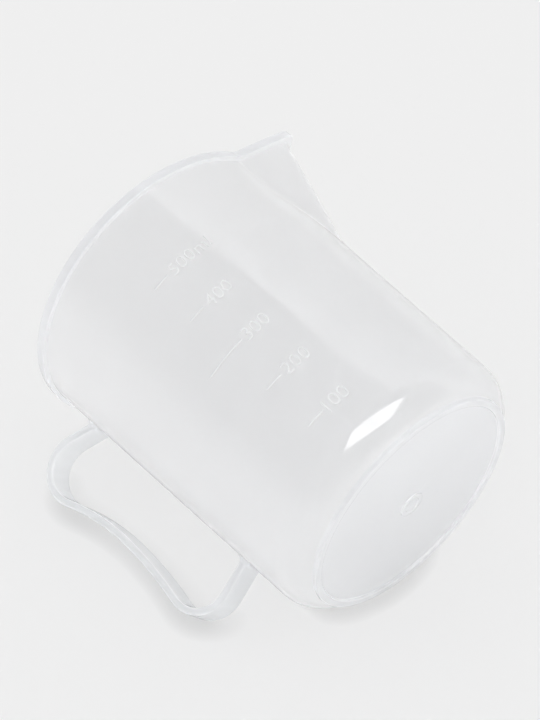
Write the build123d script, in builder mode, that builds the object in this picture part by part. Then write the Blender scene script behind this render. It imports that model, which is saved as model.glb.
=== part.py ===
"""Graduated mixing cup of translucent polypropylene, half a litre, with a beak spout and a strap handle.

The real cup is one moulding. Each region of it that a mould maker would name is a solid of its own
here, and the solids meet face to face. The frame is the cup standing on its foot: +Z up the axis,
the origin at the centre of the foot, the spout towards +X, the handle towards -X and the scale
facing -Y. Millimetres.
"""

import os
from math import atan2, cos, degrees, hypot, pi, radians, sin, sqrt, tan

from build123d import *

# Cup body
CUP_HEIGHT = 115.0
MOUTH_RADIUS = 47.4
BASE_RADIUS = 43.9
WALL = 1.3
CORNER_RADIUS = 10.1

# Foot and floor
FLOOR_RECESS = 0.8
FLOOR_THICKNESS = 1.6
FOOT_INNER_RADIUS = 35.4
FOOT_OUTER_RADIUS = 37.9
FOOT_ROUNDING = 0.5
GATE_RADIUS = 4.2
GATE_DIMPLE_RADIUS = 2.6
GATE_HEIGHT = 0.45
GATE_DIMPLE_DEPTH = 0.3

# Rim
RIM_HEIGHT = 3.2
RIM_PROUD = 1.3
RIM_ROUNDING = 0.45

# Spout
BEAK_FOOT = 72.0
BEAK_START = 1.0
BEAK_KNEE = 95.0
BEAK_REACH = 61.4
BEAK_HALF_ANGLE = 18.0
BEAK_CREASE = 0.5
BEAK_TIP_SOFTNESS = 0.02
PANEL_HALF_ANGLE = 26.0
PANEL_BOTTOM = 66.0
PANEL_LEVELS = 14
PANEL_POINTS = 16

# Handle
STRAP_WIDTH = 11.0
STRAP_THICKNESS = 2.4
STRAP_ROUNDING = 0.7
ARM_TOP = (-55.45, 100.65)
ARM_TOP_SLOPE = 22.5
BEND_END = (-70.1, 86.5)
WAIST = (-65.6, 62.0)
HEEL_START = (-67.85, 37.2)
HEEL_END = (-56.4, 25.6)
ROOT_X = -50.6
UPPER_ROOT_REACH = 6.5
LOWER_ROOT_REACH = 8.5
ROOT_FLARES = ((0.0, 0.0), (0.3, 0.1), (0.5, 0.45), (0.65, 1.0), (0.8, 1.6), (1.0, 2.0))
ROOT_ROUNDING = 0.8

# Scale
MARK_LEVELS = (100, 200, 300, 400, 500)
LONG_MARK = 300
MARK_START = 6.0
MARK_LENGTH = 5.6
LONG_MARK_LENGTH = 14.0
MARK_HEIGHT = 0.45
MARK_PROUD = 0.25
FILL_STEP = 0.01

RIM_BOTTOM = CUP_HEIGHT - RIM_HEIGHT
WALL_SLOPE = (MOUTH_RADIUS - BASE_RADIUS) / CUP_HEIGHT
DRAFT_COS = 1 / hypot(1, WALL_SLOPE)
DRAFT_SIN = WALL_SLOPE * DRAFT_COS
DRAFT = degrees(atan2(DRAFT_SIN, DRAFT_COS))
FLOOR_TOP = FLOOR_RECESS + FLOOR_THICKNESS


def wall_radius(z):
    """Outer radius of the plain tapered wall at height z."""
    return BASE_RADIUS + WALL_SLOPE * z


# Rounded bottom corner: both arcs share an upright centre line and are tangent to wall and floor
CORNER_Z = FLOOR_RECESS + CORNER_RADIUS
CORNER_X = wall_radius(CORNER_Z) - CORNER_RADIUS / DRAFT_COS
INNER_CORNER_RADIUS = ((wall_radius(FLOOR_TOP) - CORNER_X) * DRAFT_COS - WALL) / (1 - DRAFT_SIN)
INNER_CORNER_Z = FLOOR_TOP + INNER_CORNER_RADIUS
CORNER_TOP_OUT = (CORNER_X + CORNER_RADIUS * DRAFT_COS, CORNER_Z - CORNER_RADIUS * DRAFT_SIN)
CORNER_TOP_IN = (
    CORNER_X + INNER_CORNER_RADIUS * DRAFT_COS,
    INNER_CORNER_Z - INNER_CORNER_RADIUS * DRAFT_SIN,
)


def polar(radius, angle):
    """Point at the given radius and angle in degrees, 0 at the spout."""
    return (radius * cos(radians(angle)), radius * sin(radians(angle)))


def inner_radius(z):
    """Radius of the space inside the cup at height z, with its rounded bottom corner."""
    if z < CORNER_TOP_IN[1]:
        return CORNER_X + sqrt(INNER_CORNER_RADIUS**2 - (INNER_CORNER_Z - z) ** 2)
    return wall_radius(z) - WALL / DRAFT_COS


def corner_underside(radius):
    """Height of the rounded corner's underside at a radius between floor and wall."""
    return CORNER_Z - sqrt(CORNER_RADIUS**2 - (radius - CORNER_X) ** 2)


def fill_heights(levels):
    """Height of the liquid's surface for each volume in millilitres, filled slice by slice."""
    heights = []
    z = FLOOR_TOP
    volume = 0.0
    for level in levels:
        while volume < level * 1000:
            volume += pi * inner_radius(z + FILL_STEP / 2) ** 2 * FILL_STEP
            z += FILL_STEP
        heights.append(z)
    return heights


def ridge_x(z):
    """Reach of the spout's ridge at height z."""
    foot = wall_radius(BEAK_FOOT)
    return foot + (BEAK_REACH - foot) * (z - BEAK_FOOT) / (CUP_HEIGHT - BEAK_FOOT)


def facet_angle(z):
    """Angle in plan between the spout's ridge plane and one of its two sides."""
    level = max(z, BEAK_FOOT + BEAK_START)
    half = radians(BEAK_HALF_ANGLE * min((level - BEAK_FOOT) / (BEAK_KNEE - BEAK_FOOT), 1.0))
    radius = wall_radius(level)
    return atan2(radius * sin(half), ridge_x(level) - radius * cos(half))


def spout_radius(angle, z, inset):
    """Radius of the wall where the spout grows out of it, with soft creases and a soft ridge."""
    cone = wall_radius(z) - inset
    lean = facet_angle(z)
    turn = hypot(radians(angle), BEAK_TIP_SOFTNESS)
    facet = (ridge_x(z) - inset / sin(lean)) * sin(lean) / sin(lean + turn)
    rise = facet - cone
    if rise <= -BEAK_CREASE:
        return cone
    if rise < BEAK_CREASE:
        return cone + (rise + BEAK_CREASE) ** 2 / (4 * BEAK_CREASE)
    return facet


def spout_points(z, inset):
    """Plan outline of the spout at height z, close together near its ridge."""
    steps = [i / PANEL_POINTS for i in range(-PANEL_POINTS, PANEL_POINTS + 1)]
    angles = [PANEL_HALF_ANGLE * s * sqrt(abs(s)) for s in steps]
    return [polar(spout_radius(a, z, inset), a) for a in angles]


def mouth_outline(z, inset):
    """Plan face of the whole mouth: the spout and the round wall."""
    points = spout_points(z, inset)
    with BuildSketch() as outline:
        with BuildLine():
            Spline(*points)
            ThreePointArc(points[-1], (-(wall_radius(z) - inset), 0), points[0])
        make_face()
    return outline.sketch_local


def handle_root(start, direction, reach):
    """Flared end of the strap, running on from its end section into the wall."""
    with BuildPart() as root:
        for share, flare in ROOT_FLARES:
            origin = start + direction * share * reach
            rounding = STRAP_ROUNDING + ROOT_ROUNDING * flare
            with BuildSketch(Plane(origin=origin, x_dir=(0, 1, 0), z_dir=direction)):
                RectangleRounded(STRAP_WIDTH + 2 * flare, STRAP_THICKNESS + 2 * flare, rounding)
        loft(ruled=True)
    return root.part


os.makedirs("parts", exist_ok=True)
pieces = []

# Tapered wall, open where the spout is let in
with BuildPart() as body_wall:
    with BuildSketch(Plane.XZ):
        with BuildLine():
            Polyline(
                CORNER_TOP_OUT,
                (wall_radius(RIM_BOTTOM), RIM_BOTTOM),
                (wall_radius(RIM_BOTTOM) - WALL, RIM_BOTTOM),
                CORNER_TOP_IN,
                close=True,
            )
        make_face()
    revolve(axis=Axis.Z)
    with BuildSketch(Plane.XY.offset(PANEL_BOTTOM)):
        window_corners = [polar(2 * MOUTH_RADIUS, side * PANEL_HALF_ANGLE) for side in (-1, 1)]
        Polygon((0, 0), *window_corners, align=None)
    extrude(amount=CUP_HEIGHT, mode=Mode.SUBTRACT)
body_wall.part.label = "body_wall"
pieces.append(body_wall.part)

# Spout: a panel of the wall drawn out to a ridge
with BuildPart() as pouring_spout:
    for level in range(PANEL_LEVELS):
        height = PANEL_BOTTOM + (RIM_BOTTOM - PANEL_BOTTOM) * level / (PANEL_LEVELS - 1)
        outside = spout_points(height, 0)
        inside = spout_points(height, WALL)
        with BuildSketch(Plane.XY.offset(height)):
            with BuildLine():
                Spline(*outside)
                Line(outside[-1], inside[-1])
                Spline(*reversed(inside))
                Line(inside[0], outside[0])
            make_face()
    loft(ruled=True)
pouring_spout.part.label = "pouring_spout"
pieces.append(pouring_spout.part)

# Rim: a square bead standing proud of the wall and of the spout
with BuildPart() as rim_bead:
    with BuildSketch(Plane.XY.offset(RIM_BOTTOM)):
        add(mouth_outline(CUP_HEIGHT, -RIM_PROUD))
        add(mouth_outline(CUP_HEIGHT, WALL), mode=Mode.SUBTRACT)
    extrude(amount=RIM_HEIGHT)
    fillet(rim_bead.edges().group_by(Axis.Z)[-1], RIM_ROUNDING)
rim_bead.part.label = "rim_bead"
pieces.append(rim_bead.part)

# Rounded bottom corner
with BuildPart() as bottom_corner:
    with BuildSketch(Plane.XZ):
        with BuildLine():
            CenterArc((CORNER_X, CORNER_Z), CORNER_RADIUS, -90, 90 - DRAFT)
            Line(CORNER_TOP_OUT, CORNER_TOP_IN)
            CenterArc((CORNER_X, INNER_CORNER_Z), INNER_CORNER_RADIUS, -90, 90 - DRAFT)
            Line((CORNER_X, FLOOR_TOP), (CORNER_X, FLOOR_RECESS))
        make_face()
    revolve(axis=Axis.Z)
bottom_corner.part.label = "bottom_corner"
pieces.append(bottom_corner.part)

# Flat floor, a little above the foot
with BuildPart() as floor_disc:
    with BuildSketch(Plane.XY.offset(FLOOR_RECESS)):
        Circle(CORNER_X)
    extrude(amount=FLOOR_THICKNESS)
floor_disc.part.label = "floor_disc"
pieces.append(floor_disc.part)

# Foot ring under the rounded corner
with BuildPart() as foot_ring:
    foot_radii = (FOOT_INNER_RADIUS, (FOOT_INNER_RADIUS + FOOT_OUTER_RADIUS) / 2, FOOT_OUTER_RADIUS)
    inside, middle, outside = [(radius, corner_underside(radius)) for radius in foot_radii]
    with BuildSketch(Plane.XZ):
        with BuildLine():
            Polyline(inside, (FOOT_INNER_RADIUS, 0), (FOOT_OUTER_RADIUS, 0), outside)
            ThreePointArc(outside, middle, inside)
        make_face()
    revolve(axis=Axis.Z)
    fillet(foot_ring.edges().group_by(Axis.Z)[0], FOOT_ROUNDING)
foot_ring.part.label = "foot_ring"
pieces.append(foot_ring.part)

# Injection gate's mark in the middle of the floor
with BuildPart() as gate_mark:
    with BuildSketch(Plane.XY.offset(FLOOR_RECESS)):
        Circle(GATE_RADIUS)
    extrude(amount=-GATE_HEIGHT)
    chamfer(gate_mark.faces().sort_by(Axis.Z)[0].edges(), GATE_HEIGHT / 2)
    with BuildSketch(Plane.XY.offset(FLOOR_RECESS - GATE_HEIGHT)):
        Circle(GATE_DIMPLE_RADIUS)
    extrude(amount=GATE_DIMPLE_DEPTH, mode=Mode.SUBTRACT)
gate_mark.part.label = "gate_mark"
pieces.append(gate_mark.part)

# Handle: the strap's route in the XZ plane, from the upper root round to the lower one
arm_top_start = (ROOT_X, ARM_TOP[1] - (ROOT_X - ARM_TOP[0]) * tan(radians(ARM_TOP_SLOPE)))
with BuildLine(Plane.XZ) as strap_route:
    upper_arm = Line(arm_top_start, ARM_TOP)
    upper_bend = TangentArc(ARM_TOP, BEND_END, tangent=upper_arm % 1)
    upper_grip = TangentArc(BEND_END, WAIST, tangent=upper_bend % 1)
    lower_grip = TangentArc(WAIST, HEEL_START, tangent=upper_grip % 1)
    lower_bend = TangentArc(HEEL_START, HEEL_END, tangent=lower_grip % 1)
    arm_bottom_slope = (lower_bend % 1).Z / (lower_bend % 1).X
    arm_bottom_end = (ROOT_X, HEEL_END[1] + (ROOT_X - HEEL_END[0]) * arm_bottom_slope)
    lower_arm = Line(HEEL_END, arm_bottom_end)

with BuildPart() as handle_strap:
    with BuildLine() as route:
        add(strap_route.line)
    with BuildSketch(Plane(origin=route.line @ 0, x_dir=(0, 1, 0), z_dir=route.line % 0)):
        RectangleRounded(STRAP_WIDTH, STRAP_THICKNESS, STRAP_ROUNDING)
    sweep()
handle_strap.part.label = "handle_strap"
pieces.append(handle_strap.part)


# Solid of the plain wall's outside, which the roots and the marks are seated on
with BuildPart() as wall_envelope:
    with BuildSketch(Plane.XZ):
        Polygon((0, 0), (BASE_RADIUS, 0), (MOUTH_RADIUS, CUP_HEIGHT), (0, CUP_HEIGHT), align=None)
    revolve(axis=Axis.Z)

# Upper root of the handle
with BuildPart() as handle_upper_root:
    add(handle_root(upper_arm @ 0, (upper_arm % 0) * -1, UPPER_ROOT_REACH))
    add(wall_envelope.part, mode=Mode.SUBTRACT)
handle_upper_root.part.label = "handle_upper_root"
pieces.append(handle_upper_root.part)

# Lower root of the handle
with BuildPart() as handle_lower_root:
    add(handle_root(lower_arm @ 1, lower_arm % 1, LOWER_ROOT_REACH))
    add(wall_envelope.part, mode=Mode.SUBTRACT)
handle_lower_root.part.label = "handle_lower_root"
pieces.append(handle_lower_root.part)

# Scale: one raised line for each volume, standing on the wall
with BuildPart() as scale_marks:
    for level, height in zip(MARK_LEVELS, fill_heights(MARK_LEVELS)):
        print(f"{level} ml stands at {height:.1f} mm")
        length = LONG_MARK_LENGTH if level == LONG_MARK else MARK_LENGTH
        start_angle = -90 + degrees(MARK_START / wall_radius(height))
        sweep_angle = degrees(length / wall_radius(height))
        low = height - MARK_HEIGHT / 2
        high = height + MARK_HEIGHT / 2
        with BuildSketch(Plane.XZ.rotated((0, 0, start_angle))):
            Polygon(
                (wall_radius(low), low),
                (wall_radius(low) + MARK_PROUD, low),
                (wall_radius(high) + MARK_PROUD, high),
                (wall_radius(high), high),
                align=None,
            )
        revolve(axis=Axis.Z, revolution_arc=-sweep_angle)
scale_marks.part.label = "scale_marks"
pieces.append(scale_marks.part)

for piece in pieces:
    export_step(piece, f"parts/{piece.label}.step")
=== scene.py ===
"""Half-litre mixing cup of translucent plastic, with a beak spout, a strap handle and a raised scale.

The cup stands on its foot in the frame: +Z up its axis, the spout towards +X, the handle towards -X and the
scale facing -Y. It is looked at lying on its side, so the floor is a plane that leans against the rim, the
bottom corner and the handle. Metres.
"""

from math import atan2, ceil, cos, hypot, pi, radians, sin, sqrt

import bmesh
import bpy
from mathutils import Matrix, Vector


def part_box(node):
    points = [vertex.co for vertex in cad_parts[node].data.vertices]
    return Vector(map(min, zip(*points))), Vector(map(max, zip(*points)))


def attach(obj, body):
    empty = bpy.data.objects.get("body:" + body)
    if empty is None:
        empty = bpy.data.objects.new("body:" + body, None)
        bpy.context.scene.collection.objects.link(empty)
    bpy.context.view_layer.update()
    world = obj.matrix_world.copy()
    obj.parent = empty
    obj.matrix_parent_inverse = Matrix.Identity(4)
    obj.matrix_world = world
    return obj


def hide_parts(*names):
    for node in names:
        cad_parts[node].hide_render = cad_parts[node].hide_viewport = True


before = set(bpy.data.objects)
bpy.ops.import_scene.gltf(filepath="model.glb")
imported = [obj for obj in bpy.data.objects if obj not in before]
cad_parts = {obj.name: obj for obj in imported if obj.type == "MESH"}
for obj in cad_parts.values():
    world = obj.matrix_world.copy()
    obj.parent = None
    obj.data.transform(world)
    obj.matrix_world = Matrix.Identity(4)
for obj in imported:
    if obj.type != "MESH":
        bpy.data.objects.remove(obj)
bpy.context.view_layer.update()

bl_info = {
    "name": "Mixing cup",
    "version": (1, 0, 0),
    "blender": (4, 5, 0),
    "location": "View3D > Sidebar > Mixing cup",
    "description": "Builds a graduated mixing cup with its spout, handle, scale and studio",
    "category": "Add Mesh",
}

MM = 0.001
MERGE_DISTANCE = 0.002 * MM

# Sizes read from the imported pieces
RIM_LOW, RIM_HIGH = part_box("rim_bead")
FLOOR_LOW, FLOOR_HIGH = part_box("floor_disc")
FOOT_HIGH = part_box("foot_ring")[1]
GATE_LOW, GATE_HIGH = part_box("gate_mark")
PANEL_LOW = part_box("pouring_spout")[0]
STRAP_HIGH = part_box("handle_strap")[1]


class CupSizes(bpy.types.PropertyGroup):
    """Sizes of the cup's body and foot."""

    height: bpy.props.FloatProperty(
        name="Height", description="From the table to the top of the rim", default=RIM_HIGH.z, unit="LENGTH"
    )
    mouth_radius: bpy.props.FloatProperty(
        name="Mouth radius", description="Outside of the wall at the top", default=47.4 * MM, unit="LENGTH"
    )
    base_radius: bpy.props.FloatProperty(
        name="Base radius", description="Outside of the wall carried on to the table",
        default=43.9 * MM, unit="LENGTH",
    )
    wall: bpy.props.FloatProperty(
        name="Wall", description="Thickness of the wall", default=1.3 * MM, unit="LENGTH"
    )
    corner_radius: bpy.props.FloatProperty(
        name="Corner radius", description="Rounding between wall and floor", default=10.1 * MM, unit="LENGTH"
    )
    floor_under: bpy.props.FloatProperty(
        name="Floor underside", description="Height of the floor's underside",
        default=FLOOR_LOW.z, unit="LENGTH",
    )
    floor_top: bpy.props.FloatProperty(
        name="Floor top", description="Height of the floor inside", default=FLOOR_HIGH.z, unit="LENGTH"
    )
    foot_radius: bpy.props.FloatProperty(
        name="Foot radius", description="Outside of the foot ring", default=FOOT_HIGH.y, unit="LENGTH"
    )
    foot_width: bpy.props.FloatProperty(
        name="Foot width", description="Width of the foot ring", default=2.5 * MM, unit="LENGTH"
    )
    foot_rounding: bpy.props.FloatProperty(
        name="Foot rounding", description="Rounding of the foot's edges", default=0.5 * MM, unit="LENGTH"
    )
    gate_radius: bpy.props.FloatProperty(
        name="Gate radius", description="Disc where the plastic came in", default=GATE_HIGH.y, unit="LENGTH"
    )
    gate_low: bpy.props.FloatProperty(
        name="Gate height", description="Lowest height of the gate's disc", default=GATE_LOW.z, unit="LENGTH"
    )
    dimple_radius: bpy.props.FloatProperty(
        name="Dimple radius", description="Dimple in the gate's disc", default=2.6 * MM, unit="LENGTH"
    )
    dimple_depth: bpy.props.FloatProperty(
        name="Dimple depth", description="Depth of the gate's dimple", default=0.3 * MM, unit="LENGTH"
    )
    rim_bottom: bpy.props.FloatProperty(
        name="Rim underside", description="Height of the rim bead's underside",
        default=RIM_LOW.z, unit="LENGTH",
    )
    rim_proud: bpy.props.FloatProperty(
        name="Rim proud", description="How far the bead stands out of the wall",
        default=1.3 * MM, unit="LENGTH",
    )
    rim_rounding: bpy.props.FloatProperty(
        name="Rim rounding", description="Rounding of the bead's edges", default=0.45 * MM, unit="LENGTH"
    )


class SpoutSizes(bpy.types.PropertyGroup):
    """Sizes of the spout that is drawn out of the wall."""

    foot: bpy.props.FloatProperty(
        name="Foot", description="Height where the spout leaves the wall", default=72.0 * MM, unit="LENGTH"
    )
    start: bpy.props.FloatProperty(
        name="Start", description="Height over which the first crease fades in",
        default=1.0 * MM, unit="LENGTH",
    )
    knee: bpy.props.FloatProperty(
        name="Knee", description="Height where the spout has its full width", default=95.0 * MM, unit="LENGTH"
    )
    reach: bpy.props.FloatProperty(
        name="Reach", description="The ridge's distance from the axis at the rim",
        default=61.4 * MM, unit="LENGTH",
    )
    half_angle: bpy.props.FloatProperty(
        name="Half angle", description="Half of the spout's width in plan",
        default=radians(18), subtype="ANGLE",
    )
    panel_angle: bpy.props.FloatProperty(
        name="Panel angle", description="Angle past which the wall is plain",
        default=radians(26), subtype="ANGLE",
    )
    crease: bpy.props.FloatProperty(
        name="Crease", description="Softness of the side creases", default=0.5 * MM, unit="LENGTH"
    )
    ridge_softness: bpy.props.FloatProperty(
        name="Ridge softness", description="Angle over which the ridge is rounded",
        default=0.02, subtype="ANGLE",
    )


class HandleSizes(bpy.types.PropertyGroup):
    """Sizes of the handle and the points of its route in the plane y = 0."""

    width: bpy.props.FloatProperty(
        name="Width", description="Width of the strap", default=2 * STRAP_HIGH.y, unit="LENGTH"
    )
    thickness: bpy.props.FloatProperty(
        name="Thickness", description="Thickness of the strap", default=2.4 * MM, unit="LENGTH"
    )
    rounding: bpy.props.FloatProperty(
        name="Rounding", description="Rounding of the strap's edges", default=0.7 * MM, unit="LENGTH"
    )
    fillet: bpy.props.FloatProperty(
        name="Fillet", description="Fillet where the strap meets the wall", default=1.8 * MM, unit="LENGTH"
    )
    arm_slope: bpy.props.FloatProperty(
        name="Arm slope", description="Rise of the upper arm from wall to bend",
        default=radians(22.5), subtype="ANGLE",
    )
    arm_top: bpy.props.FloatVectorProperty(
        name="Arm top", description="Where the upper arm ends", size=2, default=(-55.45 * MM, 100.65 * MM)
    )
    bend_end: bpy.props.FloatVectorProperty(
        name="Bend end", description="End of the upper bend", size=2, default=(-70.1 * MM, 86.5 * MM)
    )
    waist: bpy.props.FloatVectorProperty(
        name="Waist", description="Where the grip is nearest the cup", size=2, default=(-65.6 * MM, 62.0 * MM)
    )
    heel_start: bpy.props.FloatVectorProperty(
        name="Heel start", description="Start of the lower bend", size=2, default=(-67.85 * MM, 37.2 * MM)
    )
    heel_end: bpy.props.FloatVectorProperty(
        name="Heel end", description="End of the lower bend", size=2, default=(-56.4 * MM, 25.6 * MM)
    )
    root_x: bpy.props.FloatProperty(
        name="Root", description="X where the arms become roots", default=-50.6 * MM, unit="LENGTH"
    )


class ScaleSizes(bpy.types.PropertyGroup):
    """Sizes of the raised numbers beside the scale lines."""

    digit_height: bpy.props.FloatProperty(
        name="Digit height", description="Height of the numbers", default=4.3 * MM, unit="LENGTH"
    )
    proud: bpy.props.FloatProperty(
        name="Proud", description="How far the numbers stand out of the wall",
        default=0.25 * MM, unit="LENGTH",
    )
    thinning: bpy.props.FloatProperty(
        name="Thinning", description="How much the strokes are thinned on each side",
        default=0.09 * MM, unit="LENGTH",
    )
    line_end: bpy.props.FloatProperty(
        name="Line end", description="Where the lines end beside their numbers, along the wall",
        default=6.0 * MM, unit="LENGTH",
    )
    gap: bpy.props.FloatProperty(
        name="Gap", description="From a line's end to its number", default=1.2 * MM, unit="LENGTH"
    )


class Finish(bpy.types.PropertyGroup):
    """Colours and surface values of the plastic."""

    body_colour: bpy.props.FloatVectorProperty(
        name="Plastic", description="Tint of the cup's plastic", subtype="COLOR", size=3,
        default=(0.9955, 0.9962, 0.999),
    )
    handle_colour: bpy.props.FloatVectorProperty(
        name="Handle", description="Tint of the thicker handle", subtype="COLOR", size=3,
        default=(0.982, 0.989, 0.997),
    )
    scale_colour: bpy.props.FloatVectorProperty(
        name="Numbers", description="Tint of the raised numbers", subtype="COLOR", size=3,
        default=(0.91, 0.915, 0.92),
    )
    line_colour: bpy.props.FloatVectorProperty(
        name="Lines", description="Tint of the raised lines", subtype="COLOR", size=3,
        default=(0.84, 0.845, 0.85),
    )
    milk: bpy.props.FloatProperty(
        name="Milkiness", description="Share of light that the plastic scatters",
        default=0.75, subtype="FACTOR",
    )
    haze: bpy.props.FloatProperty(
        name="Haze", description="Roughness of what is seen through the wall",
        default=0.8, subtype="FACTOR",
    )
    gloss: bpy.props.FloatProperty(
        name="Gloss", description="Refractive index of the mirror-like skin", default=1.7
    )
    wave_length: bpy.props.FloatProperty(
        name="Wave length", description="Distance between the wall's slight waves",
        default=28.0 * MM, unit="LENGTH",
    )
    wave_height: bpy.props.FloatProperty(
        name="Wave height", description="Height of the wall's slight waves",
        default=0.45 * MM, unit="LENGTH",
    )
    shadow_tint: bpy.props.FloatVectorProperty(
        name="Shadow tint", description="Light that one surface lets into shadows", subtype="COLOR", size=3,
        default=(0.18, 0.18, 0.182),
    )
    strap_shadow_tint: bpy.props.FloatVectorProperty(
        name="Handle shadow tint", description="Light that one surface of the handle lets into shadows",
        subtype="COLOR", size=3, default=(0.05, 0.05, 0.05),
    )
    thick_colour: bpy.props.FloatVectorProperty(
        name="Thick plastic", description="Tint of the thicker rim and foot", subtype="COLOR", size=3,
        default=(0.87, 0.895, 0.94),
    )


class StageSizes(bpy.types.PropertyGroup):
    """Camera, floor and light of the studio."""

    camera_azimuth: bpy.props.FloatProperty(
        name="Azimuth", description="Camera's turn round the cup",
        default=radians(3.308), subtype="ANGLE",
    )
    camera_elevation: bpy.props.FloatProperty(
        name="Elevation", description="Camera's height over the cup's mid",
        default=radians(-28.299), subtype="ANGLE",
    )
    camera_roll: bpy.props.FloatProperty(
        name="Roll", description="Camera's roll, which lays the cup down",
        default=radians(-48.676), subtype="ANGLE",
    )
    camera_distance: bpy.props.FloatProperty(
        name="Distance", description="Camera's distance from its aim",
        default=584.244 * MM, unit="LENGTH",
    )
    aim_height: bpy.props.FloatProperty(
        name="Aim height", description="Height of the aim on the cup's axis",
        default=55.0 * MM, unit="LENGTH",
    )
    aim_right: bpy.props.FloatProperty(
        name="Aim right", description="Aim's shift to the picture's right",
        default=-4.965 * MM, unit="LENGTH",
    )
    aim_up: bpy.props.FloatProperty(
        name="Aim up", description="Aim's shift to the picture's top",
        default=10.167 * MM, unit="LENGTH",
    )
    lens: bpy.props.FloatProperty(
        name="Lens", description="Focal length in millimetres", default=96.61
    )
    floor_turn: bpy.props.FloatProperty(
        name="Floor turn", description="Turn of the floor round the axis",
        default=radians(36.35), subtype="ANGLE",
    )
    floor_lean: bpy.props.FloatProperty(
        name="Floor lean", description="Rise of the floor along the axis", default=0.0441
    )
    floor_colour: bpy.props.FloatVectorProperty(
        name="Floor", description="Colour of the pale floor", subtype="COLOR", size=3,
        default=(0.86, 0.86, 0.86),
    )
    backdrop_colour: bpy.props.FloatVectorProperty(
        name="Backdrop", description="Colour of the pale backdrop", subtype="COLOR", size=3,
        default=(0.863, 0.863, 0.863),
    )
    floor_evenness: bpy.props.FloatProperty(
        name="Floor evenness", description="Share of the floor's colour that the camera sees in any light",
        default=0.58, subtype="FACTOR",
    )
    # Painted contact shadow: the floor's colour is darkened by ambient occlusion near the cup, not by shadows
    # cast from the lamps
    painted_shadow_reach: bpy.props.FloatProperty(
        name="Contact reach", description="How far the shade round what touches the floor reaches",
        default=7.0 * MM, unit="LENGTH",
    )
    painted_shadow_light: bpy.props.FloatProperty(
        name="Contact light", description="Light left on the floor where something touches it", default=0.84
    )
    dome_edge: bpy.props.FloatProperty(
        name="Dome edge", description="Brightness of the dome of light near the floor", default=0.93
    )
    dome_top: bpy.props.FloatProperty(
        name="Dome top", description="Brightness of the dome of light overhead", default=1.28
    )
    backdrop_light: bpy.props.FloatProperty(
        name="Backdrop light", description="Light of the backdrop as the gloss shows it", default=0.72
    )
    backdrop_brow: bpy.props.FloatProperty(
        name="Backdrop brow", description="Light of the backdrop's upper edge as the gloss shows it",
        default=1.25,
    )
    room_foot: bpy.props.FloatProperty(
        name="Room foot", description="Light of the room where it meets the floor", default=0.6
    )
    room_light: bpy.props.FloatProperty(
        name="Room light", description="Light of the room higher up", default=0.08
    )
    backdrop_rise: bpy.props.FloatProperty(
        name="Backdrop rise", description="Height of the backdrop as an angle",
        default=radians(62.4), subtype="ANGLE",
    )
    lamp_distance: bpy.props.FloatProperty(
        name="Lamp distance", description="Softbox to cup", default=6.0, unit="LENGTH"
    )
    lamp_power: bpy.props.FloatProperty(
        name="Lamp power", description="Softbox power in watts", default=300.0
    )


def wall_radius(cup, z):
    """Outer radius of the plain tapered wall at height z."""
    return cup.base_radius + (cup.mouth_radius - cup.base_radius) * z / cup.height


def ridge_reach(cup, spout, z):
    """Distance of the spout's ridge from the axis at height z."""
    foot = wall_radius(cup, spout.foot)
    return foot + (spout.reach - foot) * (z - spout.foot) / (cup.height - spout.foot)


def facet_lean(cup, spout, z):
    """Angle in plan between the spout's ridge plane and one of its two sides."""
    level = max(z, spout.foot + spout.start)
    half = spout.half_angle * min((level - spout.foot) / (spout.knee - spout.foot), 1.0)
    radius = wall_radius(cup, level)
    return atan2(radius * sin(half), ridge_reach(cup, spout, level) - radius * cos(half))


def spout_radius(cup, spout, angle, z, inset):
    """Radius of the wall where the spout grows out of it, with soft creases and a soft ridge."""
    cone = wall_radius(cup, z) - inset
    lean = facet_lean(cup, spout, z)
    turn = min(hypot(angle, spout.ridge_softness), spout.panel_angle)
    facet = (ridge_reach(cup, spout, z) - inset / sin(lean)) * sin(lean) / sin(lean + turn)
    rise = facet - cone
    if rise <= -spout.crease:
        return cone
    if rise < spout.crease:
        return cone + (rise + spout.crease) ** 2 / (4 * spout.crease)
    return facet


def draw_to(bm, tip, radius, height):
    """Carry a profile on from its tip in a straight line and return the new tip."""
    grown = bmesh.ops.extrude_vert_indiv(bm, verts=[tip])["verts"][0]
    grown.co = (radius, 0, height)
    return grown


def draw_edge(bm, tip, radius, height, rounding, rounded):
    """Carry a profile on to an edge that is rounded later, and return the new tip."""
    grown = draw_to(bm, tip, radius, height)
    rounded.append((grown, rounding))
    return grown


def draw_round(bm, tip, centre, angle, steps):
    """Carry a profile on from its tip in an arc and return the new tip.

    A positive angle turns clockwise, with +X to the right and +Z up.
    """
    spun = bmesh.ops.spin(
        bm, geom=[tip], cent=(centre[0], 0, centre[1]), axis=(0, 1, 0), angle=angle, steps=steps
    )
    return spun["geom_last"][0]


def round_point(bm, point, offset, segments):
    """Round one point of a profile."""
    bmesh.ops.bevel(
        bm, geom=[point], offset=offset, segments=segments, profile=0.5, affect="VERTICES", material=-1
    )


def divide_edges(bm, spacing, low, high):
    """Divide the profile's long edges between two heights into steps of about the spacing."""
    for edge in list(bm.edges):
        if all(low <= vertex.co.z <= high for vertex in edge.verts):
            cuts = ceil(edge.calc_length() / spacing) - 1
            if cuts > 0:
                bmesh.ops.subdivide_edges(bm, edges=[edge], cuts=cuts)


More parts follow.
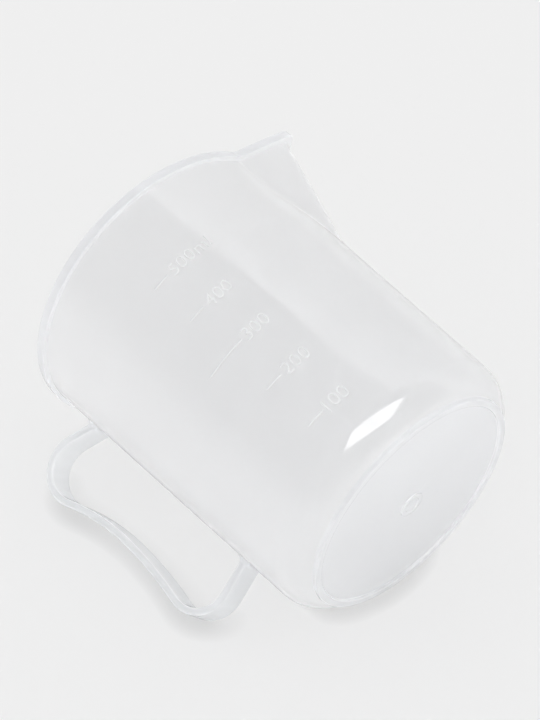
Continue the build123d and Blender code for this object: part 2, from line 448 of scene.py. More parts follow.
def draw_cup_profile(bm, cup):
    """Closed half section of the whole cup, from the axis inside, over the rim, to the axis underneath."""
    corner_steps = 14
    seat_steps = 3
    edge_segments = 4
    spout_spacing = 1.1 * MM
    wall_spacing = 7 * MM
    draft = atan2(cup.mouth_radius - cup.base_radius, cup.height)
    corner_z = cup.floor_under + cup.corner_radius
    corner_x = wall_radius(cup, corner_z) - cup.corner_radius / cos(draft)
    inner_reach = (wall_radius(cup, cup.floor_top) - corner_x) * cos(draft) - cup.wall
    inner_corner = inner_reach / (1 - sin(draft))
    foot_inner = cup.foot_radius - cup.foot_width
    foot_out_drop = sqrt(cup.corner_radius**2 - (cup.foot_radius - corner_x) ** 2)
    foot_in_drop = sqrt(cup.corner_radius**2 - (foot_inner - corner_x) ** 2)
    foot_out_turn = pi / 2 - atan2(cup.foot_radius - corner_x, foot_out_drop)
    foot_in_turn = atan2(foot_inner - corner_x, foot_in_drop)
    rim_outer = cup.mouth_radius + cup.rim_proud
    small_rim = cup.rim_rounding / 2
    small_foot = cup.foot_rounding / 2
    gate_edge = cup.dimple_depth / 2
    dimple_edge = cup.dimple_depth / 3
    rounded = []

    # Inside, from the axis up to the rim
    tip = bm.verts.new((0, 0, cup.floor_top))
    tip = draw_to(bm, tip, corner_x, cup.floor_top)
    tip = draw_round(bm, tip, (corner_x, cup.floor_top + inner_corner), draft - pi / 2, corner_steps)
    tip = draw_to(bm, tip, wall_radius(cup, PANEL_LOW.z) - cup.wall, PANEL_LOW.z)
    tip = draw_to(bm, tip, wall_radius(cup, cup.rim_bottom) - cup.wall, cup.rim_bottom)
    tip = draw_edge(bm, tip, cup.mouth_radius - cup.wall, cup.height, cup.rim_rounding, rounded)

    # Rim bead, and the outside down to the foot
    tip = draw_edge(bm, tip, rim_outer, cup.height, cup.rim_rounding, rounded)
    tip = draw_edge(bm, tip, rim_outer, cup.rim_bottom, small_rim, rounded)
    tip = draw_edge(bm, tip, wall_radius(cup, cup.rim_bottom), cup.rim_bottom, small_rim, rounded)
    tip = draw_to(bm, tip, wall_radius(cup, PANEL_LOW.z), PANEL_LOW.z)
    tangent_z = corner_z - cup.corner_radius * sin(draft)
    tip = draw_to(bm, tip, corner_x + cup.corner_radius * cos(draft), tangent_z)
    tip = draw_round(bm, tip, (corner_x, corner_z), foot_out_turn - draft, corner_steps)
    rounded.append((tip, small_foot))

    # Foot ring, and the underside in to the axis
    tip = draw_edge(bm, tip, cup.foot_radius, 0, cup.foot_rounding, rounded)
    tip = draw_edge(bm, tip, foot_inner, 0, cup.foot_rounding, rounded)
    tip = draw_edge(bm, tip, foot_inner, corner_z - foot_in_drop, small_foot, rounded)
    tip = draw_round(bm, tip, (corner_x, corner_z), foot_in_turn, seat_steps)
    tip = draw_edge(bm, tip, cup.gate_radius, cup.floor_under, gate_edge, rounded)
    tip = draw_edge(bm, tip, cup.gate_radius, cup.gate_low, gate_edge, rounded)
    tip = draw_edge(bm, tip, cup.dimple_radius, cup.gate_low, dimple_edge, rounded)
    tip = draw_edge(bm, tip, cup.dimple_radius, cup.gate_low + cup.dimple_depth, dimple_edge, rounded)
    draw_to(bm, tip, 0, cup.gate_low + cup.dimple_depth)

    for point, rounding in rounded:
        round_point(bm, point, rounding, edge_segments)
    divide_edges(bm, spout_spacing, PANEL_LOW.z, cup.rim_bottom)
    divide_edges(bm, wall_spacing, 0, cup.height)


def crowd_columns(bm):
    """Turn the columns of points towards the spout, where the form is sharp."""
    crowding = 0.7
    for vertex in bm.verts:
        angle = atan2(vertex.co.y, vertex.co.x)
        radius = hypot(vertex.co.x, vertex.co.y)
        angle -= crowding * sin(angle)
        vertex.co.x = radius * cos(angle)
        vertex.co.y = radius * sin(angle)


def draw_out_spout(bm, cup, spout):
    """Move the wall and the rim bead out to the spout; the bead keeps the mouth's outline down its side."""
    for vertex in bm.verts:
        if vertex.co.z < PANEL_LOW.z:
            continue
        z = vertex.co.z
        radius = hypot(vertex.co.x, vertex.co.y)
        proud = min(max((radius - wall_radius(cup, z)) / cup.rim_proud, 0.0), 1.0)
        level = z + (cup.height - z) * proud
        angle = atan2(vertex.co.y, vertex.co.x)
        moved = spout_radius(cup, spout, angle, level, wall_radius(cup, level) - radius)
        vertex.co.x *= moved / radius
        vertex.co.y *= moved / radius


def finish_piece(bm, name, material, replaced):
    """Turn a bmesh into a smooth piece that rides on the cup and stands for its nodes."""
    bmesh.ops.remove_doubles(bm, verts=bm.verts, dist=MERGE_DISTANCE)
    bmesh.ops.recalc_face_normals(bm, faces=bm.faces)
    for face in bm.faces:
        face.smooth = True
    mesh = bpy.data.meshes.new(name)
    bm.to_mesh(mesh)
    bm.free()
    mesh.materials.append(material)
    piece = bpy.data.objects.new(name, mesh)
    bpy.context.scene.collection.objects.link(piece)
    weighted = piece.modifiers.new("Even shading", "WEIGHTED_NORMAL")
    weighted.keep_sharp = True
    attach(piece, "root")
    if replaced:
        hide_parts(*replaced)


def empty_nodes(owner):
    """Switch a material's or a world's nodes on, and return them emptied, with their links."""
    owner.use_nodes = True
    tree = owner.node_tree
    tree.nodes.clear()
    return tree.nodes, tree.links


def feed(links, value, socket):
    """Give an input socket the output of another node, or a plain value."""
    if isinstance(value, bpy.types.NodeSocket):
        links.new(value, socket)
    else:
        socket.default_value = value


def calculate(nodes, links, operation, first, second):
    """Result of one sum of two values."""
    node = nodes.new("ShaderNodeMath")
    node.operation = operation
    feed(links, first, node.inputs[0])
    feed(links, second, node.inputs[1])
    return node.outputs[0]


def ramp(nodes, links, value, low, high):
    """Follow a value; low and high are each a pair of the value and the result there."""
    node = nodes.new("ShaderNodeMapRange")
    node.inputs["From Min"].default_value, node.inputs["To Min"].default_value = low
    node.inputs["From Max"].default_value, node.inputs["To Max"].default_value = high
    links.new(value, node.inputs["Value"])
    return node.outputs["Result"]


def brighten(nodes, links, colour, factor):
    """Colour times a factor."""
    node = nodes.new("ShaderNodeVectorMath")
    node.operation = "SCALE"
    feed(links, colour, node.inputs[0])
    links.new(factor, node.inputs["Scale"])
    return node.outputs["Vector"]


def mix_values(nodes, links, share, first, second):
    """First value where the share is 0, and second where it is 1."""
    node = nodes.new("ShaderNodeMix")
    links.new(share, node.inputs["Factor"])
    feed(links, first, node.inputs["A"])
    feed(links, second, node.inputs["B"])
    return node.outputs["Result"]


def mix_colours(nodes, links, share, first, second):
    """First colour where the share is 0, and second where it is 1."""
    # The colour sockets' places among those of all the kinds that the node can mix
    colour_a, colour_b, colour_result = 6, 7, 2
    node = nodes.new("ShaderNodeMix")
    node.data_type = "RGBA"
    links.new(share, node.inputs["Factor"])
    links.new(first, node.inputs[colour_a])
    links.new(second, node.inputs[colour_b])
    return node.outputs[colour_result]


def mix_shaders(nodes, links, share, first, second):
    """First shader where the share is 0, and second where it is 1."""
    node = nodes.new("ShaderNodeMixShader")
    feed(links, share, node.inputs["Fac"])
    links.new(first, node.inputs[1])
    links.new(second, node.inputs[2])
    return node.outputs["Shader"]


def moulded_surface_group():
    """Node group for the slight waves, the cloudiness and the tint of a moulded surface."""
    name = "Moulded surface"
    if name in bpy.data.node_groups:
        return bpy.data.node_groups[name]
    group = bpy.data.node_groups.new(name, "ShaderNodeTree")
    values = {
        "Wave size": 60.0, "Wave depth": 1.0, "Cloud size": 90.0, "Haze": 0.3,
        "Rim height": 1.0, "Foot height": -1.0,
    }
    for label, default in values.items():
        socket = group.interface.new_socket(label, in_out="INPUT", socket_type="NodeSocketFloat")
        socket.default_value = default
    for label in ("Colour", "Thick colour"):
        tint = group.interface.new_socket(label, in_out="INPUT", socket_type="NodeSocketColor")
        tint.default_value = (0.9, 0.9, 0.9, 1)
    group.interface.new_socket("Colour", in_out="OUTPUT", socket_type="NodeSocketColor")
    group.interface.new_socket("Roughness", in_out="OUTPUT", socket_type="NodeSocketFloat")
    group.interface.new_socket("Height", in_out="OUTPUT", socket_type="NodeSocketFloat")
    nodes = group.nodes
    links = group.links
    given = nodes.new("NodeGroupInput").outputs
    result = nodes.new("NodeGroupOutput").inputs
    place = nodes.new("ShaderNodeTexCoord")

    # Slight waves
    waves = nodes.new("ShaderNodeTexNoise")
    waves.inputs["Detail"].default_value = 0.0
    links.new(place.outputs["Object"], waves.inputs["Vector"])
    links.new(given["Wave size"], waves.inputs["Scale"])
    height = calculate(nodes, links, "MULTIPLY", waves.outputs["Fac"], given["Wave depth"])
    links.new(height, result["Height"])

    # Cloudiness, which makes the skin uneven
    clouds = nodes.new("ShaderNodeTexNoise")
    clouds.inputs["Detail"].default_value = 3.0
    links.new(place.outputs["Object"], clouds.inputs["Vector"])
    links.new(given["Cloud size"], clouds.inputs["Scale"])
    thin_cloud, dense_cloud = 0.3, 0.7
    uneven = ramp(nodes, links, clouds.outputs["Fac"], (thin_cloud, 0.9), (dense_cloud, 1.1))
    roughness = calculate(nodes, links, "MULTIPLY", uneven, given["Haze"])
    links.new(roughness, result["Roughness"])

    # Tint, deeper in the thick rim and foot
    up = nodes.new("ShaderNodeSeparateXYZ")
    links.new(place.outputs["Object"], up.inputs["Vector"])
    in_rim = calculate(nodes, links, "GREATER_THAN", up.outputs["Z"], given["Rim height"])
    in_foot = calculate(nodes, links, "LESS_THAN", up.outputs["Z"], given["Foot height"])
    in_thick = calculate(nodes, links, "MAXIMUM", in_rim, in_foot)
    tint = mix_colours(nodes, links, in_thick, given["Colour"], given["Thick colour"])
    shade = ramp(nodes, links, clouds.outputs["Fac"], (thin_cloud, 0.985), (dense_cloud, 1.0))
    links.new(brighten(nodes, links, tint, shade), result["Colour"])
    return group


def moulded_shader(nodes, links, values, bump_height, refraction):
    """Principled plastic with the moulded surface on it; returns its node and the surface's normal."""
    surface = nodes.new("ShaderNodeGroup")
    surface.node_tree = moulded_surface_group()
    for label, value in values.items():
        surface.inputs[label].default_value = value
    bump = nodes.new("ShaderNodeBump")
    bump.inputs["Distance"].default_value = bump_height
    links.new(surface.outputs["Height"], bump.inputs["Height"])
    plastic = nodes.new("ShaderNodeBsdfPrincipled")
    plastic.inputs["IOR"].default_value = refraction
    links.new(surface.outputs["Colour"], plastic.inputs["Base Color"])
    links.new(surface.outputs["Roughness"], plastic.inputs["Roughness"])
    links.new(bump.outputs["Normal"], plastic.inputs["Normal"])
    return plastic, bump.outputs["Normal"]


def moulded_plastic(name, colour, shadow_tint, finish, wave_depth, thick_above=1.0, thick_below=-1.0):
    """Translucent plastic: hazy inside, glossy outside, with shadows that let a part of the light through."""
    bending = 1.3
    material = bpy.data.materials.new(name)
    nodes, links = empty_nodes(material)
    values = {
        "Colour": (*colour, 1), "Thick colour": (*finish.thick_colour, 1), "Haze": finish.haze,
        "Wave size": 1 / finish.wave_length, "Wave depth": wave_depth,
        "Rim height": thick_above, "Foot height": thick_below,
    }

    # The milky wall, hazy to what is behind it
    plastic, normal = moulded_shader(nodes, links, values, finish.wave_height, bending)
    plastic.inputs["Transmission Weight"].default_value = 1.0
    scatter = nodes.new("ShaderNodeBsdfTranslucent")
    scatter.inputs["Color"].default_value = (*colour, 1)
    milky = mix_shaders(nodes, links, finish.milk, plastic.outputs["BSDF"], scatter.outputs["BSDF"])

    # The mirror-like skin, on the outside alone
    skin = nodes.new("ShaderNodeBsdfAnisotropic")
    skin.inputs["Roughness"].default_value = 0.0
    links.new(normal, skin.inputs["Normal"])
    mirrored = nodes.new("ShaderNodeFresnel")
    mirrored.inputs["IOR"].default_value = finish.gloss
    links.new(normal, mirrored.inputs["Normal"])
    side = nodes.new("ShaderNodeNewGeometry")
    outside = calculate(nodes, links, "SUBTRACT", 1.0, side.outputs["Backfacing"])
    share = calculate(nodes, links, "MULTIPLY", mirrored.outputs[0], outside)
    glossy = mix_shaders(nodes, links, share, milky, skin.outputs["BSDF"])

    # What shadows see of it
    path = nodes.new("ShaderNodeLightPath")
    clear = nodes.new("ShaderNodeBsdfTransparent")
    clear.inputs["Color"].default_value = (*shadow_tint, 1)
    lit_through = mix_shaders(nodes, links, path.outputs["Is Shadow Ray"], glossy, clear.outputs["BSDF"])
    output = nodes.new("ShaderNodeOutputMaterial")
    links.new(lit_through, output.inputs["Surface"])
    return material


def raised_plastic(name, colour):
    """Plastic that stands proud in thin strokes, which let less light through than the wall."""
    bending = 1.49
    fine_wave = 4 * MM
    fine_height = 0.02 * MM
    material = bpy.data.materials.new(name)
    nodes, links = empty_nodes(material)
    values = {"Colour": (*colour, 1), "Haze": 0.5, "Wave size": 1 / fine_wave}
    plastic, _ = moulded_shader(nodes, links, values, fine_height, bending)
    output = nodes.new("ShaderNodeOutputMaterial")
    links.new(plastic.outputs["BSDF"], output.inputs["Surface"])
    return material


class MIXING_CUP_OT_body(bpy.types.Operator):
    """Mould the cup's body: wall, spout, rim, corner, floor, foot and gate mark in one skin."""

    bl_idname = "mixing_cup.body"
    bl_label = "Cup body"

    def execute(self, context):
        cup = context.scene.mixing_cup
        finish = context.scene.mixing_cup_finish
        columns = 288
        full_waves = 1.0
        bm = bmesh.new()
        draw_cup_profile(bm, cup)
        bmesh.ops.spin(
            bm, geom=bm.verts[:] + bm.edges[:], axis=(0, 0, 1), angle=2 * pi, steps=columns, use_merge=True
        )
        bmesh.ops.remove_doubles(bm, verts=bm.verts, dist=MERGE_DISTANCE)
        crowd_columns(bm)
        draw_out_spout(bm, cup, context.scene.mixing_cup_spout)
        plastic = moulded_plastic(
            "translucent_wall", finish.body_colour, finish.shadow_tint, finish, full_waves,
            thick_above=cup.rim_bottom, thick_below=FOOT_HIGH.z,
        )
        finish_piece(
            bm, "cup_body", plastic,
            (
                "body_wall", "pouring_spout", "rim_bead", "bottom_corner", "floor_disc", "foot_ring",
                "gate_mark",
            ),
        )
        return {"FINISHED"}


def flat_point(pair):
    """Point of the plane y = 0 from its x and z."""
    return Vector((pair[0], 0, pair[1]))


def pick(geometry, *kinds):
    """Items of the given kinds out of what an operator returned."""
    return [item for item in geometry if isinstance(item, kinds)]


def placed_at(centre, x_way, y_way, z_way):
    """Matrix that moves something to a centre and turns its three axes along the given directions."""
    return Matrix.Translation(centre) @ Matrix((x_way, y_way, z_way)).transposed().to_4x4()


def strap_frame(centre, heading):
    """Matrix of a section of the strap: local X along the cup's Y, local Y across the strap's thickness."""
    across = Vector((0, 1, 0))
    return placed_at(centre, across, heading.cross(across), heading)


def sweep_arc(bm, ring, start, heading, end, spacing):
    """Carry the strap's ring round the arc that leaves start along heading and ends at end."""
    side = Vector((-heading.z, 0, heading.x))
    chord = end - start
    across = chord.dot(side)
    centre = start + side * chord.length_squared / (2 * across)
    turn = 2 * atan2(across, chord.dot(heading))
    length = abs(turn) * (start - centre).length
    spun = bmesh.ops.spin(
        bm, geom=ring, cent=centre, axis=(0, -1, 0), angle=turn, steps=ceil(length / spacing)
    )
    return spun["geom_last"], Matrix.Rotation(-turn, 3, "Y") @ heading


def grow_root(bm, ring, centre, heading, cup, handle):
    """Carry the strap's ring into the wall with a fillet, and close it there."""
    approaches = (3.0 * MM, 2.4 * MM)
    fillet_steps = 10
    sunk = -0.2 * MM
    stations = [(distance, 0.0) for distance in approaches]
    for step in range(fillet_steps + 1):
        angle = pi / 2 * step / fillet_steps
        stations.append((handle.fillet * (1 - sin(angle)), handle.fillet * (1 - cos(angle))))
    stations.append((sunk, handle.fillet))
    section = strap_frame(centre, heading)
    edges = pick(ring, bmesh.types.BMEdge)
    last_flare = 0.0
    for distance, flare in stations:
        grown = bmesh.ops.extrude_edge_only(bm, edges=edges)["geom"]
        edges = pick(grown, bmesh.types.BMEdge)
        widening = (handle.width + 2 * flare) / (handle.width + 2 * last_flare)
        thickening = (handle.thickness + 2 * flare) / (handle.thickness + 2 * last_flare)
        for vertex in pick(grown, bmesh.types.BMVert):
            local = section.inverted() @ vertex.co
            place = section @ Vector((local.x * widening, local.y * thickening, 0))
            vertex.co = slide_to_wall(place, heading, cup, distance)
        last_flare = flare
    bmesh.ops.holes_fill(bm, edges=edges, sides=0)


def slide_to_wall(place, heading, cup, distance):
    """Slide a point along the heading until it stands the given distance from the plain wall."""
    approximations = 6
    for _ in range(approximations):
        gap = hypot(place.x, place.y) - wall_radius(cup, place.z) - distance
        place = place + heading * gap
    return place


def strap_section(bm, handle):
    """Rounded outline of the strap's section, flat at the origin."""
    edge_segments = 5
    side_cuts = 7
    bmesh.ops.create_grid(bm, x_segments=1, y_segments=1, size=0.5)
    bmesh.ops.scale(bm, vec=(handle.width, handle.thickness, 1), verts=bm.verts)
    bmesh.ops.bevel(
        bm, geom=bm.verts[:], offset=handle.rounding, segments=edge_segments, profile=0.5,
        affect="VERTICES", material=-1,
    )
    bmesh.ops.delete(bm, geom=bm.faces[:], context="FACES_ONLY")
    broad_sides = [edge for edge in bm.edges if edge.calc_length() > handle.width / 2]
    bmesh.ops.subdivide_edges(bm, edges=broad_sides, cuts=side_cuts)


def draw_arm(bm, edges, start, end):
    """Carry the strap's ring on in a straight line and return the new ring."""
    grown = bmesh.ops.extrude_edge_only(bm, edges=edges)["geom"]
    bmesh.ops.translate(bm, vec=end - start, verts=pick(grown, bmesh.types.BMVert))
    return pick(grown, bmesh.types.BMVert, bmesh.types.BMEdge)


class MIXING_CUP_OT_handle(bpy.types.Operator):
    """Sweep the strap handle and grow its two ends into the wall."""

    bl_idname = "mixing_cup.handle"
    bl_label = "Handle"

    def execute(self, context):
        cup = context.scene.mixing_cup
        handle = context.scene.mixing_cup_handle
        finish = context.scene.mixing_cup_finish
        sweep_spacing = 0.8 * MM
        slight_waves = 0.3
        heading = Vector((-cos(handle.arm_slope), 0, sin(handle.arm_slope)))
        wallwards = -heading
        place = flat_point(handle.arm_top)
        upper_end = place + heading * (handle.root_x - place.x) / heading.x
        bm = bmesh.new()
        strap_section(bm, handle)
        bmesh.ops.transform(bm, matrix=strap_frame(upper_end, heading), verts=bm.verts)
        upper_ring = bm.verts[:] + bm.edges[:]
        ring = draw_arm(bm, bm.edges[:], upper_end, place)
        for bend_end in (handle.bend_end, handle.waist, handle.heel_start, handle.heel_end):
            ring, heading = sweep_arc(bm, ring, place, heading, flat_point(bend_end), sweep_spacing)
            place = flat_point(bend_end)
        lower_end = place + heading * (handle.root_x - place.x) / heading.x
        lower_ring = draw_arm(bm, pick(ring, bmesh.types.BMEdge), place, lower_end)
        grow_root(bm, upper_ring, upper_end, wallwards, cup, handle)
        grow_root(bm, lower_ring, lower_end, heading, cup, handle)
        plastic = moulded_plastic(
            "translucent_strap", finish.handle_colour, finish.strap_shadow_tint, finish, slight_waves
        )
        finish_piece(
            bm, "strap_handle", plastic,
            ("handle_strap", "handle_upper_root", "handle_lower_root"),
        )
        return {"FINISHED"}


def line_heights(marks):
    """Mid heights of the scale lines, from the marks' own points, lowest first."""
    between_lines = 5 * MM
    far_above = 1.0
    heights = sorted(vertex.co.z for vertex in marks.data.vertices)
    middles = []
    low = heights[0]
    last = low
    for height in heights[1:] + [far_above]:
        if height - last > between_lines:
            middles.append((low + last) / 2)
            low = height
        last = height
    return middles


class MIXING_CUP_OT_scale(bpy.types.Operator):
    """Raise the numbers beside the scale lines and finish the lines."""

    bl_idname = "mixing_cup.scale"
    bl_label = "Scale"

    def execute(self, context):
        cup = context.scene.mixing_cup
        scale = context.scene.mixing_cup_scale
        finish = context.scene.mixing_cup_finish
        line_step = 100
        plastic = raised_plastic("raised_scale", finish.scale_colour)
        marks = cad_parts["scale_marks"]
        marks.material_slots[0].material = raised_plastic("raised_lines", finish.line_colour)
        bm = bmesh.new()
        heights = line_heights(marks)
        for count, height in enumerate(heights, 1):
            unit = "ml" if count == len(heights) else ""
            raise_number(bm, f"{line_step * count}{unit}", height, cup, scale)
        finish_piece(bm, "scale_numbers", plastic, ())
        return {"FINISHED"}


def raise_number(bm, body, height, cup, scale):
    """Write one number as a mesh and lay it on the tapered wall, reading towards the spout."""
    # Height of the font's figures as a share of the text's size
    glyph_top = 0.682
    sunk = 0.05 * MM
    long_edge = 1.2 * MM
    text = bpy.data.curves.new(f"number_{body}", "FONT")
    text.body = body
    text.size = scale.digit_height / glyph_top
    text.offset = -scale.thinning
    text.extrude = scale.proud / 2
    text.resolution_u = 4
    writer = bpy.data.objects.new(f"number_{body}", text)
    bpy.context.scene.collection.objects.link(writer)
    mesh = bpy.data.meshes.new_from_object(writer)
    number = bmesh.new()
    number.from_mesh(mesh)
    long_edges = [edge for edge in number.edges if edge.calc_length() > long_edge]
    bmesh.ops.subdivide_edges(number, edges=long_edges, cuts=2)
    left = min(vertex.co.x for vertex in number.verts)
    for vertex in number.verts:
        along = scale.line_end + scale.gap + vertex.co.x - left
        z = height + vertex.co.y - scale.digit_height / 2
        radius = wall_radius(cup, z) + scale.proud / 2 + vertex.co.z
        if vertex.co.z < 0:
            radius -= sunk
        angle = -pi / 2 + along / wall_radius(cup, height)
        vertex.co = (radius * cos(angle), radius * sin(angle), z)
    number.to_mesh(mesh)
    number.free()
    bm.from_mesh(mesh)
    bpy.data.objects.remove(writer)
    bpy.data.meshes.remove(mesh)
    bpy.data.curves.remove(text)


def camera_axes(stage):
    """Right, up and back directions of the camera."""
    azimuth, elevation = stage.camera_azimuth, stage.camera_elevation
    back = Vector((sin(azimuth) * cos(elevation), -cos(azimuth) * cos(elevation), sin(elevation)))
    level = Vector((cos(azimuth), sin(azimuth), 0))
    turned = Matrix.Rotation(stage.camera_roll, 3, back)
    right = turned @ level
    return right, back.cross(right), back


def floor_normal(stage):
    """Upward direction of the floor that the cup lies on."""
    return Vector((sin(stage.floor_turn), -cos(stage.floor_turn), stage.floor_lean)).normalized()


def pale_floor_material(stage):
    """Matt pale floor, seen from its upper side alone, evened out for the camera, with a painted contact
    shadow where something nearly touches it.
    """
    fully_shaded = 0.5
    material = bpy.data.materials.new("pale_floor")
    nodes, links = empty_nodes(material)
    # Painted contact shadow: ambient occlusion darkens both the floor's colour and its even glow where the
    # cup nearly touches
    near = nodes.new("ShaderNodeAmbientOcclusion")
    near.inputs["Distance"].default_value = stage.painted_shadow_reach
    shade = ramp(nodes, links, near.outputs["AO"], (fully_shaded, stage.painted_shadow_light), (1.0, 1.0))
    matt = nodes.new("ShaderNodeBsdfDiffuse")
    links.new(brighten(nodes, links, stage.floor_colour, shade), matt.inputs["Color"])
    even = nodes.new("ShaderNodeEmission")
    even.inputs["Color"].default_value = (*stage.backdrop_colour, 1)
    links.new(shade, even.inputs["Strength"])
    path = nodes.new("ShaderNodeLightPath")
    share = calculate(nodes, links, "MULTIPLY", path.outputs["Is Camera Ray"], stage.floor_evenness)
    evened = mix_shaders(nodes, links, share, matt.outputs["BSDF"], even.outputs["Emission"])
    side = nodes.new("ShaderNodeNewGeometry")
    open_side = nodes.new("ShaderNodeBsdfTransparent")
    one_sided = mix_shaders(nodes, links, side.outputs["Backfacing"], evened, open_side.outputs["BSDF"])
    output = nodes.new("ShaderNodeOutputMaterial")
    links.new(one_sided, output.inputs["Surface"])
    return material


def toward_camera(stage):
    """Direction along the floor towards the camera."""
    normal = floor_normal(stage)
    back = camera_axes(stage)[2]
    return (back - normal * back.dot(normal)).normalized()


def softbox_direction(stage):
    """Direction from the cup to the softbox, and the direction of the softbox's width.

    The softbox hangs overhead, a little towards the camera and to one side.
    """
    overhead, forward, aside = 0.945, 0.3075, 0.11
    width_aside, width_back = 0.968, 0.252
    normal = floor_normal(stage)
    toward = toward_camera(stage)
    sideways = toward.cross(normal)
    direction = (normal * overhead + toward * forward - sideways * aside).normalized()
    width_way = (-sideways * width_aside - toward * width_back).normalized()
    return direction, (width_way - direction * width_way.dot(direction)).normalized()


def backdrop_direction(stage):
    """Direction that the pale backdrop faces away from; the room lies on its other side."""
    return -toward_camera(stage) * sin(stage.backdrop_rise) - floor_normal(stage) * cos(stage.backdrop_rise)


def brightness_by_direction(nodes, links, direction, low, high):
    """Brightness that changes between two cosines of the angle to a direction."""
    place = nodes.new("ShaderNodeTexCoord")
    dot = nodes.new("ShaderNodeVectorMath")
    dot.operation = "DOT_PRODUCT"
    dot.inputs[1].default_value = direction
    links.new(place.outputs["Generated"], dot.inputs[0])
    return ramp(nodes, links, dot.outputs["Value"], low, high)


def studio_world(stage):
    """Soft dome of light, the plain backdrop for the camera, and backdrop and room for what is glossy."""
    # Cosines of the angles between which the brightnesses change
    dome_foot = -0.2
    brow_edge, brow_depth = 0.05, 0.35
    backdrop_edge = 0.01
    room_rise = 0.3
    world = bpy.data.worlds.new("studio")
    bpy.context.scene.world = world
    nodes, links = empty_nodes(world)
    path = nodes.new("ShaderNodeLightPath")
    behind = backdrop_direction(stage)
    dome = brightness_by_direction(
        nodes, links, softbox_direction(stage)[0], (dome_foot, stage.dome_edge), (1.0, stage.dome_top)
    )
    backdrop = brightness_by_direction(
        nodes, links, behind, (brow_edge, stage.backdrop_brow), (brow_depth, stage.backdrop_light)
    )
    in_backdrop = brightness_by_direction(nodes, links, behind, (-backdrop_edge, 0.0), (backdrop_edge, 1.0))
    dim_room = brightness_by_direction(
        nodes, links, floor_normal(stage), (0.0, stage.room_foot), (room_rise, stage.room_light)
    )
    room = mix_values(nodes, links, in_backdrop, dim_room, backdrop)
    shiny = mix_values(nodes, links, path.outputs["Is Glossy Ray"], dome, room)
    seen = mix_values(nodes, links, path.outputs["Is Camera Ray"], shiny, 1.0)
    background = nodes.new("ShaderNodeBackground")
    background.inputs["Color"].default_value = (*stage.backdrop_colour, 1)
    links.new(seen, background.inputs["Strength"])
    output = nodes.new("ShaderNodeOutputWorld")
    links.new(background.outputs["Background"], output.inputs["Surface"])


def set_camera(scene, stage):
    """Camera at the viewing angle that shows the cup lying down."""
    right, up, back = camera_axes(stage)
    aim = Vector((0, 0, stage.aim_height)) + right * stage.aim_right + up * stage.aim_up
    camera_data = bpy.data.cameras.new("camera")
    camera_data.sensor_width = 36
    camera_data.lens = stage.lens
    camera_data.clip_start = 0.01
    camera_data.clip_end = 100
    camera = bpy.data.objects.new("camera", camera_data)
    camera.matrix_world = placed_at(aim + back * stage.camera_distance, right, up, back)
    scene.collection.objects.link(camera)
    scene.camera = camera


def lay_floor(scene, stage):
    """Pale floor that touches the lowest points of the lying cup."""
    half_side = 4
    normal = floor_normal(stage)
    pieces = [bpy.data.objects[name] for name in ("cup_body", "strap_handle")]
    lowest = min(vertex.co.dot(normal) for piece in pieces for vertex in piece.data.vertices)
    bm = bmesh.new()
    bmesh.ops.create_grid(bm, x_segments=1, y_segments=1, size=half_side)
    turn = normal.to_track_quat("Z", "Y").to_matrix().to_4x4()
    bmesh.ops.transform(bm, matrix=Matrix.Translation(normal * lowest) @ turn, verts=bm.verts)
    mesh = bpy.data.meshes.new("pale_floor")
    bm.to_mesh(mesh)
    bm.free()
    mesh.materials.append(pale_floor_material(stage))
    ground = bpy.data.objects.new("pale_floor", mesh)
    scene.collection.objects.link(ground)


def hang_softbox(scene, stage):
    """Broad softbox over the cup, which shows in the gloss and adds a little light to the hazy plastic."""
    long_side, short_side = 0.975, 0.59
    direction, width_way = softbox_direction(stage)
    softbox = bpy.data.lights.new("softbox", "AREA")
    softbox.shape = "RECTANGLE"
    softbox.size = long_side * stage.lamp_distance
    softbox.size_y = short_side * stage.lamp_distance
    softbox.energy = stage.lamp_power
    lamp = bpy.data.objects.new("softbox", softbox)
    centre = Vector((0, 0, stage.aim_height)) + direction * stage.lamp_distance
    lamp.matrix_world = placed_at(centre, width_way, direction.cross(width_way), direction)
    lamp.visible_diffuse = False
    lamp.visible_transmission = False
    scene.collection.objects.link(lamp)


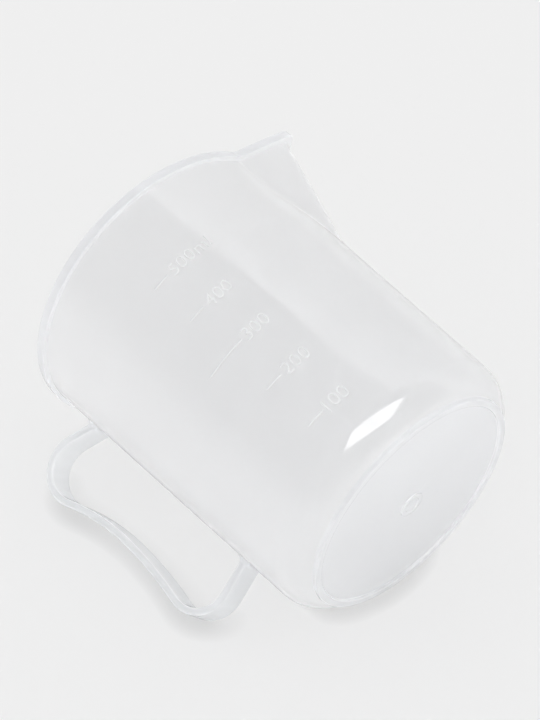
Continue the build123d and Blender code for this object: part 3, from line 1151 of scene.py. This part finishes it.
class MIXING_CUP_OT_stage(bpy.types.Operator):
    """Set up the camera, the pale floor, the backdrop and the softbox."""

    bl_idname = "mixing_cup.stage"
    bl_label = "Stage"

    def execute(self, context):
        stage = context.scene.mixing_cup_stage
        scene = context.scene
        set_camera(scene, stage)
        lay_floor(scene, stage)
        hang_softbox(scene, stage)
        studio_world(stage)
        scene.view_settings.view_transform = "Standard"
        return {"FINISHED"}


class MIXING_CUP_PT_panel(bpy.types.Panel):
    """Sizes, colours and building steps of the mixing cup."""

    bl_idname = "MIXING_CUP_PT_panel"
    bl_label = "Mixing cup"
    bl_space_type = "VIEW_3D"
    bl_region_type = "UI"
    bl_category = "Mixing cup"

    def draw(self, context):
        layout = self.layout
        for name in SETTINGS:
            group = getattr(context.scene, name)
            box = layout.box()
            for key in group.bl_rna.properties.keys():
                if key not in ("rna_type", "name"):
                    box.prop(group, key)
        for operator in OPERATORS:
            layout.operator(operator.bl_idname)


SETTINGS = {
    "mixing_cup": CupSizes,
    "mixing_cup_spout": SpoutSizes,
    "mixing_cup_handle": HandleSizes,
    "mixing_cup_scale": ScaleSizes,
    "mixing_cup_finish": Finish,
    "mixing_cup_stage": StageSizes,
}
OPERATORS = (MIXING_CUP_OT_body, MIXING_CUP_OT_handle, MIXING_CUP_OT_scale, MIXING_CUP_OT_stage)


def register():
    """Register the classes and hang the settings on the scene."""
    for name, group in SETTINGS.items():
        bpy.utils.register_class(group)
        setattr(bpy.types.Scene, name, bpy.props.PointerProperty(type=group))
    for operator in OPERATORS:
        bpy.utils.register_class(operator)
    bpy.utils.register_class(MIXING_CUP_PT_panel)


def unregister():
    """Take the settings and classes away again."""
    bpy.utils.unregister_class(MIXING_CUP_PT_panel)
    for operator in reversed(OPERATORS):
        bpy.utils.unregister_class(operator)
    for name, group in reversed(SETTINGS.items()):
        delattr(bpy.types.Scene, name)
        bpy.utils.unregister_class(group)


def main():
    register()
    bpy.ops.mixing_cup.body()
    bpy.ops.mixing_cup.handle()
    bpy.ops.mixing_cup.scale()
    bpy.ops.mixing_cup.stage()


if __name__ == "__main__":
    main()
